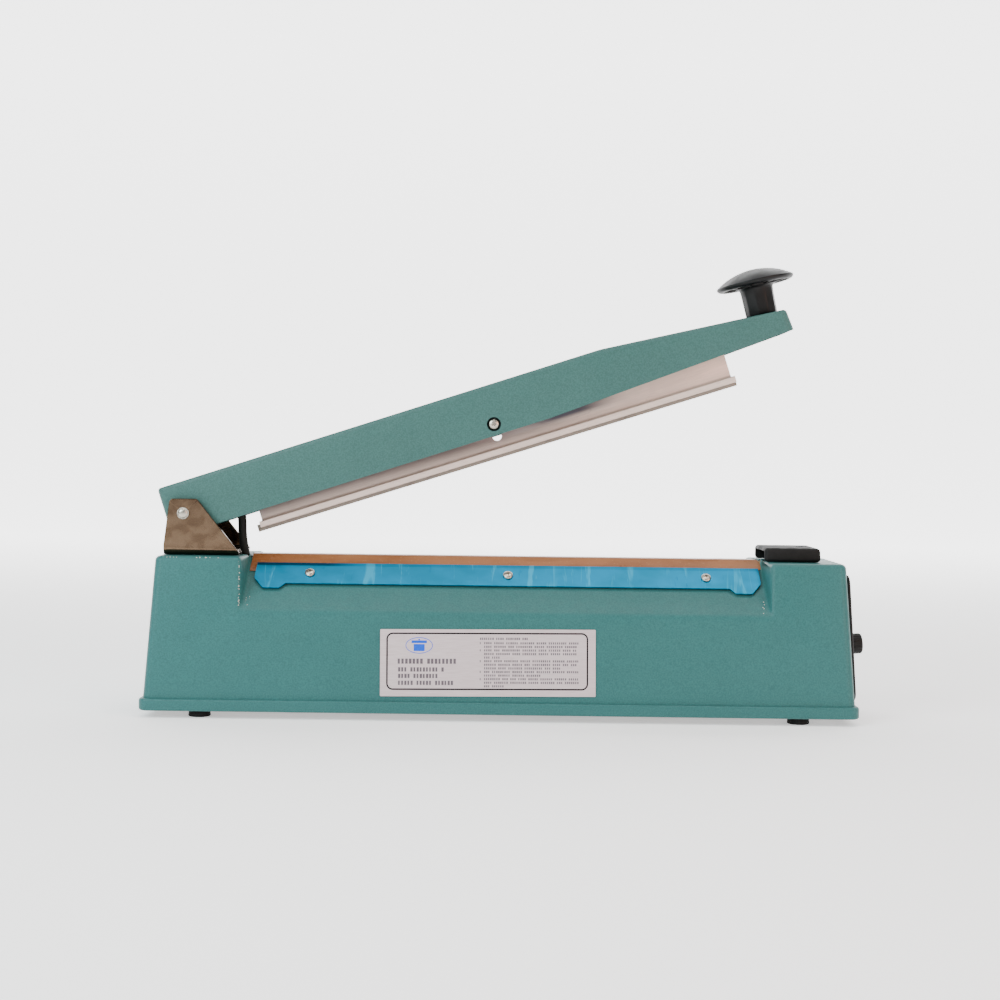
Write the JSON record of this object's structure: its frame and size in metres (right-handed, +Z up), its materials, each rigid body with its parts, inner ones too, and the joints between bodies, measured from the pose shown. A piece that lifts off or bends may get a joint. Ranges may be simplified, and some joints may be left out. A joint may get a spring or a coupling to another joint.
{
  "type": "impulse heat sealer",
  "caption": "Hand-operated impulse bag sealer: drafted base with heated taped bed, and a sprung lever arm carrying a floating press bar and mushroom handle.",
  "frame": {"origin": "centre of the machine on the surface that its feet stand on", "axes": "+X along the base from the hinge to the control panel, -Y towards the operator, +Z up"},
  "size_m": [0.4429, 0.085, 0.2786],
  "materials": {
    "base_paint": "hammertone enamel, teal",
    "arm_paint": "hammertone enamel, teal",
    "zinc_sheet": "bright zinc plate",
    "film_plate": "steel plate under blue protective film",
    "fastener": "nickel plated",
    "spring_steel": "drawn wire",
    "bar_aluminium": "mill-finish extrusion",
    "silicone": "matt silicone",
    "ptfe_tape": "glass cloth coated with PTFE",
    "black_plastic": "moulded, satin",
    "handle_plastic": "phenolic, semi-gloss",
    "black_rubber": "moulded rubber",
    "brass": "turned",
    "nichrome": "flat resistance ribbon",
    "board": "glass-epoxy board",
    "coil": "copper winding under amber tape",
    "core": "varnished laminations",
    "red_plastic": "clear red",
    "cable_black": "PVC sheath",
    "lead_red": "PVC sheath",
    "label_foil": "printed foil"
  },
  "bodies": {
    "base": {"base_housing": "base_paint", "hinge_bracket": "zinc_sheet", "rear_clamp_plate": "zinc_sheet", "bottom_plate": "zinc_sheet", "transformer_strap": "zinc_sheet", "front_clamp_plate": "film_plate", "foot_screw_front_left": "fastener", "foot_screw_front_right": "fastener", "foot_screw_rear_left": "fastener", "foot_screw_rear_right": "fastener", "clamp_screw_front_1": "fastener", "clamp_screw_front_2": "fastener", "clamp_screw_front_3": "fastener", "clamp_screw_rear_1": "fastener", "clamp_screw_rear_2": "fastener", "clamp_screw_rear_3": "fastener", "cover_screw": "fastener", "bracket_screw_1": "fastener", "bracket_screw_2": "fastener", "hinge_pin": "fastener", "panel_screw_1": "fastener", "panel_screw_2": "fastener", "timer_potentiometer": "fastener", "return_spring": "spring_steel", "terminal_spring": "spring_steel", "seal_bed_strip": "silicone", "ptfe_tape": "ptfe_tape", "terminal_cover": "black_plastic", "control_panel": "black_plastic", "power_relay": "black_plastic", "cord_gland": "black_plastic", "foot_front_left": "black_rubber", "foot_front_right": "black_rubber", "foot_rear_left": "black_rubber", "foot_rear_right": "black_rubber", "left_terminal": "brass", "heating_element": "nichrome", "timer_board": "board", "transformer_coil": "coil", "transformer_core": "core", "indicator_lamp": "red_plastic", "switch_cable": "cable_black", "element_lead": "lead_red", "rating_label": "label_foil"},
    "arm": {"arm_casing": "arm_paint", "hinge_sleeve": "brass", "bar_bush": "fastener", "bar_bolt": "fastener", "bar_nut": "fastener", "handle_knob": "handle_plastic", "handle_screw": "fastener", "micro_switch": "black_plastic", "bar_spring_1": "spring_steel", "bar_spring_2": "spring_steel"},
    "press_bar": {"press_bar": "bar_aluminium", "silicone_strip": "silicone"},
    "switch_lever": {"switch_lever": "spring_steel"},
    "switch_plunger": {"switch_plunger": "red_plastic"},
    "timer_knob": {"timer_knob": "black_plastic"},
    "right_terminal": {"right_terminal": "brass"}
  },
  "joints": [
    {"name": "arm_hinge", "type": "hinge", "parent": "base", "child": "arm", "pos_m": [-0.1981, 0, 0.1225], "axis": [0, 1, 0], "range_deg": [0, 17.8], "stiffness_Nm_per_rad": 3, "springref_deg": -51.57, "deforming": ["return_spring", "switch_cable"]},
    {"name": "bar_float", "type": "slide", "parent": "arm", "child": "press_bar", "axis": [-0.3057, 0, 0.9521], "range_m": [0, 0.004], "stiffness_N_per_m": 1500, "springref_m": -0.006, "deforming": ["bar_spring_1", "bar_spring_2"]},
    {"name": "lever_turn", "type": "hinge", "parent": "arm", "child": "switch_lever", "pos_m": [-0.14247, 0.0049, 0.15139], "axis": [0, -1, 0], "range_deg": [0, 18]},
    {"name": "plunger_travel", "type": "slide", "parent": "arm", "child": "switch_plunger", "axis": [-0.3057, 0, 0.9521], "range_m": [0, 0.001]},
    {"name": "timer_turn", "type": "hinge", "parent": "base", "child": "timer_knob", "pos_m": [0.21809, 0, 0.04589], "axis": [0.9977, 0, 0.068], "range_deg": [-270, 0]},
    {"name": "terminal_tension", "type": "slide", "parent": "base", "child": "right_terminal", "axis": [1, 0, 0], "range_m": [0, 0.0015], "stiffness_N_per_m": 3000, "deforming": ["terminal_spring"]}
  ],
  "couplings": [
    {"joint": "lever_turn", "follows": "bar_float", "rad_per_m": 76},
    {"joint": "plunger_travel", "follows": "bar_float", "ratio": 0.24}
  ]
}
